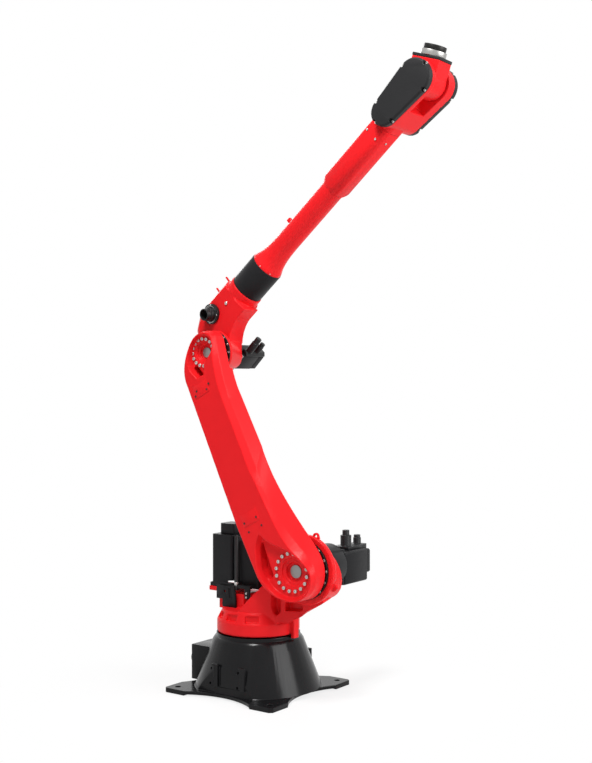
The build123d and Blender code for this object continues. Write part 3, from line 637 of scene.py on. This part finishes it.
class DressLowerArm(RobotOperator, bpy.types.Operator):
    """Lower arm with the screws of both gear units"""

    bl_idname = "robot_arm.dress_lower_arm"
    bl_label = "Lower arm"

    GRAIN = 0.0024
    EDGE = 0.0008
    PARTS = (
        ("shoulder_output", "shoulder_gear_disc", "dark_steel", "dark"),
        ("elbow_output", "elbow_gear_disc", "dark_steel", "dark"),
        ("shoulder_shaft_plug", "shoulder_shaft_end", "bright_steel", "shaft"),
        ("elbow_shaft_plug", "elbow_shaft_end", "bright_steel", "shaft"),
    )
    DISC_FACE_Y = -0.151
    DISC_SCREWS = 16
    SHOULDER_CIRCLE = 0.0584
    ELBOW_CIRCLE = 0.0443
    FIRST_SCREW = -18              # from level, degrees
    SHOULDER_HEAD = 0.0055
    ELBOW_SCREW = (0.0058, 0.005)
    PADS = ((-0.057, 0.192, 0.066), (-0.048, 0.641, 0.062))      # middle, lower edge, length
    PAD_FACE_Y = -0.1746
    PAD_THICK = 0.008
    PAD_TALL = 0.040
    PAD_SLOPE = -2.6
    PAD_CORNER = 0.006
    HOLE_FACE_Y = -0.1750
    HOLES = (
        (-0.084, 0.203), (-0.032, 0.203), (-0.067, 0.662), (-0.011, 0.662), (-0.078, 0.649),
        (-0.026, 0.649))
    LOW_HOLE_FACE_Y = -0.1722
    LOW_HOLES = ((-0.082, 0.172), (-0.026, 0.172))
    HOLE_PROFILE = [(0.0036, 0), (0.0036, 0.0003), (0.0024, 0.0003), (0.0020, -0.004)]

    def make(self):
        cast_piece(
            "lower_arm", "lower_arm_shell", "lower_arm", "red", IN_ARM, self.GRAIN, rounding=1)
        for x, z, length in self.PADS:
            self.pad(x, z, length)
        for node, name, slot, finish in self.PARTS:
            machined_piece(node, name, "lower_arm", finish, self.EDGE)
        shoulder = IN_ARM @ Matrix.Translation((0, self.DISC_FACE_Y, 0)) @ TOWARDS_RIGHT
        elbow = IN_ARM @ Matrix.Translation((0, self.DISC_FACE_Y, LOWER_LINK)) @ TOWARDS_RIGHT
        screws(
            "shoulder_disc_screws", "lower_arm", "bright_steel",
            ring_places(shoulder, self.SHOULDER_CIRCLE, self.DISC_SCREWS, self.FIRST_SCREW - LOWER_LEAN),
            sizes().gear_screw, self.SHOULDER_HEAD)
        screws(
            "elbow_disc_screws", "lower_arm", "bright_steel",
            ring_places(elbow, self.ELBOW_CIRCLE, self.DISC_SCREWS, 0), *self.ELBOW_SCREW)
        places = [(x, self.HOLE_FACE_Y, z) for x, z in self.HOLES]
        places += [(x, self.LOW_HOLE_FACE_Y, z) for x, z in self.LOW_HOLES]
        holes = [IN_ARM @ Matrix.Translation(place) @ TOWARDS_RIGHT for place in places]
        # Each tapped hole gets a thin rim and a cone that carry painted shade of the hole's inside.
        rim = turned(self.HOLE_PROFILE, SCREW_SIDES)
        finish_piece(copies(rim, holes), "tapped_holes", "lower_arm", "hole")

    def pad(self, x, z, length):
        """Flat pad that rises out of the arm's sloping side towards its lower edge."""
        deselect()
        bpy.ops.mesh.primitive_cube_add(size=1, location=(0, 0, 0))
        pad = bpy.context.object
        pad.scale = (length, self.PAD_THICK, self.PAD_TALL)
        bpy.ops.object.transform_apply(scale=True)
        self.round_lower_corners(pad)
        bevelled(pad, self.EDGE, 40)
        smoothed(pad, 35)
        pad.matrix_world = (
            IN_ARM @ Matrix.Translation((x, self.PAD_FACE_Y, z))
            @ Matrix.Rotation(radians(self.PAD_SLOPE), 4, "X")
            @ Matrix.Translation((0, self.PAD_THICK / 2, self.PAD_TALL / 2)))
        finish_piece(pad, f"arm_pad_{round(z * 1000)}", "lower_arm", "red")

    def round_lower_corners(self, pad):
        """Round the two edges that run through the pad's thickness at its lower side."""
        bpy.ops.object.mode_set(mode="EDIT")
        bpy.ops.mesh.select_mode(type="EDGE")
        bpy.ops.mesh.select_all(action="DESELECT")
        bpy.ops.object.mode_set(mode="OBJECT")
        for edge in pad.data.edges:
            ends = [pad.data.vertices[index].co for index in edge.vertices]
            edge.select = all(end.z < 0 for end in ends) and abs(ends[0].y - ends[1].y) > self.PAD_THICK / 2
        bpy.ops.object.mode_set(mode="EDIT")
        bpy.ops.mesh.bevel(offset=self.PAD_CORNER, segments=CORNER_SEGMENTS, affect="EDGES")
        bpy.ops.object.mode_set(mode="OBJECT")


class DressElbow(RobotOperator, bpy.types.Operator):
    """Elbow casting with its motor, gear unit, hooks and hose inlet"""

    bl_idname = "robot_arm.dress_elbow"
    bl_label = "Elbow"

    PARTS = (
        ("elbow_reducer", "elbow_gear_ring", "dark_steel", "dark", 0.0008),
        ("elbow_motor_flange", "third_motor_flange", "bright_steel", "bright", 0.0006),
        ("elbow_motor", "third_motor_body", "motor_housing", "motor", 0.0012),
        ("elbow_motor_cap", "third_motor_cap", "motor_housing", "motor", 0.0012),
        ("elbow_motor_terminals", "third_motor_connectors", "connectors", "connector", 0.001),
        ("cable_hooks", "outside_cable_hooks", "red_paint", "red", 0.0008),
        ("hose_inlet", "hose_flange", "hose_fitting", "connector", 0.001),
    )
    GEAR_FACE = (0, -0.104, 0)
    GEAR_CIRCLE = 0.0672
    GEAR_SCREWS = 16
    GEAR_FIRST = 5
    HOSE_FOOT = (0.053, -0.058, 0.127)
    HOSE_TURN = -10
    HOSE_FLANGE = 0.0062
    CLAMP_PROFILE = [(0.0265, 0), (0.0285, 0), (0.0285, 0.0012), (0.0265, 0.0012), (0.0265, 0)]
    FLANGE_CIRCLE = 0.0302
    FLANGE_SCREW = (0.0026, 0.0022)
    PLUG = (0.122, -0.0585, 0.111)
    PLUG_SIZE = (0.0055, 0.003)

    def make(self):
        cast_piece("elbow_casting", "elbow_shell", "elbow", "red", IN_ELBOW, rounding=4)
        for node, name, slot, finish, edge in self.PARTS:
            machined_piece(node, name, "elbow", finish, edge)
        gear = IN_ELBOW @ Matrix.Translation(self.GEAR_FACE) @ TOWARDS_RIGHT
        places = ring_places(gear, self.GEAR_CIRCLE, self.GEAR_SCREWS, self.GEAR_FIRST)
        screws("elbow_ring_screws", "elbow", "dark_steel", places, 0.0036, 0.002)
        hose = (
            IN_ELBOW @ Matrix.Translation(self.HOSE_FOOT)
            @ Matrix.Rotation(radians(self.HOSE_TURN), 4, "Z")
            @ Matrix.Translation((0, -self.HOSE_FLANGE, 0)) @ TOWARDS_RIGHT)
        ring = smoothed(turned(self.CLAMP_PROFILE, 40, False))
        finish_piece(copies(ring, [hose]), "hose_clamp_ring", "elbow", "bright")
        screws(
            "hose_flange_screws", "elbow", "hose_fitting", ring_places(hose, self.FLANGE_CIRCLE, 4, 40),
            *self.FLANGE_SCREW)
        plug = IN_ELBOW @ Matrix.Translation(self.PLUG) @ TOWARDS_RIGHT
        screws("casting_plug", "elbow", "bright_steel", [plug], *self.PLUG_SIZE)


class DressForearm(RobotOperator, bpy.types.Operator):
    """Black sleeve, red tube and the fork with its two covers"""

    bl_idname = "robot_arm.dress_forearm"
    bl_label = "Forearm"

    TUBE_EDGE = 0.001
    COVER_EDGE = 0.0012
    FLARE_X = 0.299
    FLARE_CIRCLE = 0.0518
    FLARE_SCREWS = 8
    FLARE_FIRST = 12
    SIDE_SCREWS = ((0.866, -0.0432, 0.142), (0.866, -0.0432, 0.098))
    UNDER_SCREW = (0.870, -0.006, 0.0807)
    COVER_TIP = 0.055              # notches round the cover's wide end, then round its narrow end
    COVER_HEEL = 0.0426
    COVER_REACH = -0.135
    NOTCH_SHIFT = 0.002
    RIGHT_FACE_Y = -0.0655
    LEFT_FACE_Y = 0.0855

    def make(self):
        machined_piece("roll_sleeve", "roll_band", "forearm", "motor", self.TUBE_EDGE)
        machined_piece(
            "forearm_tube", "forearm_shell", "forearm", "red", self.TUBE_EDGE, sharp=50,
            smooth=50)
        cast_piece("wrist_fork", "fork_shell", "forearm", "red", IN_ELBOW)
        for side in ("right", "left"):
            machined_piece(
                "wrist_cover_" + side, "fork_cover_" + side, "forearm", "plastic",
                self.COVER_EDGE, smooth=15)
        flare = IN_ELBOW @ Matrix.Translation((self.FLARE_X, 0, FOREARM_RISE)) @ TOWARDS_FRONT
        places = ring_places(flare, self.FLARE_CIRCLE, self.FLARE_SCREWS, self.FLARE_FIRST)
        screws("flare_screws", "forearm", "red_paint", places, 0.0034, 0.004)
        places = [IN_ELBOW @ Matrix.Translation(place) @ TOWARDS_RIGHT for place in self.SIDE_SCREWS]
        places.append(IN_ELBOW @ Matrix.Translation(self.UNDER_SCREW) @ Matrix.Rotation(radians(180), 4, "X"))
        screws("forearm_screws", "forearm", "red_paint", places, 0.0036, 0.002)
        screws(
            "cover_screws", "forearm", "cover_plastic", self.cover_places(), sizes().small_screw, 0.003)

    def cover_places(self):
        tip, heel, reach, shift = self.COVER_TIP, self.COVER_HEEL, self.COVER_REACH, self.NOTCH_SHIFT
        notches = (
            (tip, 0), (-shift, tip), (-shift, -tip), (reach + shift, heel), (reach - heel, 0), (reach, -heel))
        near = [IN_FORK @ Matrix.Translation((x, self.RIGHT_FACE_Y, z)) @ TOWARDS_RIGHT for x, z in notches]
        far = [IN_FORK @ Matrix.Translation((x, self.LEFT_FACE_Y, z)) @ TOWARDS_LEFT for x, z in notches]
        return near + far


class DressWrist(RobotOperator, bpy.types.Operator):
    """Wrist block, seal plate, gear ring and tool flange"""

    bl_idname = "robot_arm.dress_wrist"
    bl_label = "Wrist"

    GRAIN = 0.0018
    PARTS = (
        ("wrist_seal_plate", "seal_plate", "wrist", "flange_steel", "plastic", 0.001),
        ("wrist_reducer", "wrist_gear_ring", "wrist", "bright_steel", "bright", 0.001),
        ("tool_flange", "tool_face", "tool", "flange_steel", "dark", 0.0008),
    )

    def make(self):
        cast_piece("wrist_block", "wrist_housing", "wrist", "red", IN_WRIST, self.GRAIN)
        for node, name, body, slot, finish, edge in self.PARTS:
            machined_piece(node, name, body, finish, edge)


class DressStage(RobotOperator, bpy.types.Operator):
    """Pale floor, soft lights and the camera"""

    bl_idname = "robot_arm.dress_stage"
    bl_label = "Studio"

    FLOOR_SIZE = 40
    FLOOR_DROP = -0.0005
    FLOOR_SHADE = 0.86
    SHADOW_NEAR = (0.3, 0.78)      # distance from the middle, share of plain white
    SHADOW_FAR = (0.85, 1.0)
    AMBIENT = 0.24
    RIM_POWER = 60
    PICTURE_HEIGHT = 763
    FOCAL_LENGTH = 1188.5          # in the picture's pixels
    SENSOR = 36
    CAMERA_PLACE = (2.4051, -3.1039, 1.0124)
    CAMERA_TURN = 35.96
    CAMERA_TILT = -0.01
    CLIP_END = 100

    def make(self):
        self.floor()
        self.lights()
        self.camera()

    def floor(self):
        deselect()
        bpy.ops.mesh.primitive_plane_add(size=self.FLOOR_SIZE, location=(0, 0, self.FLOOR_DROP))
        floor = bpy.context.object
        bpy.ops.object.transform_apply(location=True)
        floor.name = "studio_floor"
        finish = Finish("pale floor")
        pale = (self.FLOOR_SHADE, self.FLOOR_SHADE, self.FLOOR_SHADE, 1)
        finish.set(Base_Color=pale, Roughness=0.9, Specular_IOR_Level=0.0)
        middle = finish.node("ShaderNodeVectorMath", {"operation": "LENGTH"}, {0: finish.place}, "Value")
        near, near_share = self.SHADOW_NEAR
        far, far_share = self.SHADOW_FAR
        share = finish.node(
            "ShaderNodeMapRange", {"interpolation_type": "SMOOTHSTEP"},
            {"Value": middle, "From Min": near, "From Max": far, "To Min": near_share, "To Max": far_share})
        glow = finish.node("ShaderNodeEmission", {}, {})
        shading = Wire(finish, finish.shader.outputs[0])
        finish.surface(finish.node(
            "ShaderNodeMixShader", {}, {0: finish.seen_rays() * share, 1: shading, 2: glow}))
        floor.data.materials.append(finish.material)

    def lights(self):
        world = bpy.data.worlds.new("studio")
        bpy.context.scene.world = world
        world.use_nodes = True
        studio = NodeMaker(world.node_tree)
        strength = studio.node(
            "ShaderNodeMapRange", {}, {"Value": studio.seen_rays(), "To Min": self.AMBIENT, "To Max": 1.0})
        light = studio.node("ShaderNodeBackground", {}, {"Color": (1, 1, 1, 1), "Strength": strength})
        studio.node("ShaderNodeOutputWorld", {}, {"Surface": light}, None)
        lamps = (      # name, place, the point it faces, side, power
            ("key", (3.9, 0.6, 2.4), (0.1, 0, 0.8), 2.4, sizes().key_light),
            ("front", (0.7, -2.0, 4.3), (0.1, 0, 0.7), 1.0, sizes().front_light),
            ("rim", (-2.6, 2.6, 3.0), (0.1, 0, 1.0), 2.0, self.RIM_POWER),
        )
        for name, place, aim, size, power in lamps:
            deselect()
            bpy.ops.object.light_add(type="AREA", location=place)
            lamp = bpy.context.object
            lamp.name = name + "_light"
            lamp.data.shape = "SQUARE"
            lamp.data.size = size
            lamp.data.energy = power
            lamp.rotation_euler = (Vector(aim) - Vector(place)).to_track_quat("-Z", "Y").to_euler()

    def camera(self):
        """The camera that took the picture: a little above waist height, looking level."""
        turn, tilt = radians(self.CAMERA_TURN), radians(self.CAMERA_TILT)
        ahead = Vector((-sin(turn) * cos(tilt), cos(turn) * cos(tilt), sin(tilt)))
        right = Vector((cos(turn), sin(turn), 0))
        over = right.cross(ahead)
        deselect()
        bpy.ops.object.camera_add()
        camera = bpy.context.object
        camera.name = "studio_camera"
        place = Matrix((right, over, -ahead)).transposed().to_4x4()
        place.translation = Vector(self.CAMERA_PLACE)
        camera.matrix_world = place
        camera.data.sensor_fit = "VERTICAL"
        camera.data.sensor_height = self.SENSOR
        camera.data.lens = self.FOCAL_LENGTH * self.SENSOR / self.PICTURE_HEIGHT
        camera.data.clip_end = self.CLIP_END
        bpy.context.scene.camera = camera


OPERATORS = (
    DressStage, DressBase, DressTurret, DressTurretMotor, DressShoulderMotor, DressLowerArm, DressElbow,
    DressForearm, DressWrist)


class RobotPanel(bpy.types.Panel):
    """Buttons and settings of the robot arm in the sidebar"""

    bl_idname = "VIEW3D_PT_robot_arm"
    bl_label = "Robot Arm"
    bl_space_type = "VIEW_3D"
    bl_region_type = "UI"
    bl_category = "Robot Arm"

    def draw(self, context):
        scene = context.scene
        for group in (scene.robot_paint, scene.robot_sizes):
            for key in group.__annotations__:
                self.layout.prop(group, key)
        for operator in OPERATORS:
            self.layout.operator(operator.bl_idname)


CLASSES = (PaintSettings, SizeSettings, *OPERATORS, RobotPanel)


def register():
    for kind in CLASSES:
        bpy.utils.register_class(kind)
    bpy.types.Scene.robot_paint = bpy.props.PointerProperty(type=PaintSettings)
    bpy.types.Scene.robot_sizes = bpy.props.PointerProperty(type=SizeSettings)


def unregister():
    del bpy.types.Scene.robot_paint
    del bpy.types.Scene.robot_sizes
    for kind in reversed(CLASSES):
        bpy.utils.unregister_class(kind)


def main():
    register()
    bpy.context.scene.view_settings.view_transform = "Standard"
    for operator in OPERATORS:
        group, name = operator.bl_idname.split(".")
        getattr(getattr(bpy.ops, group), name)()


if __name__ == "__main__":
    main()
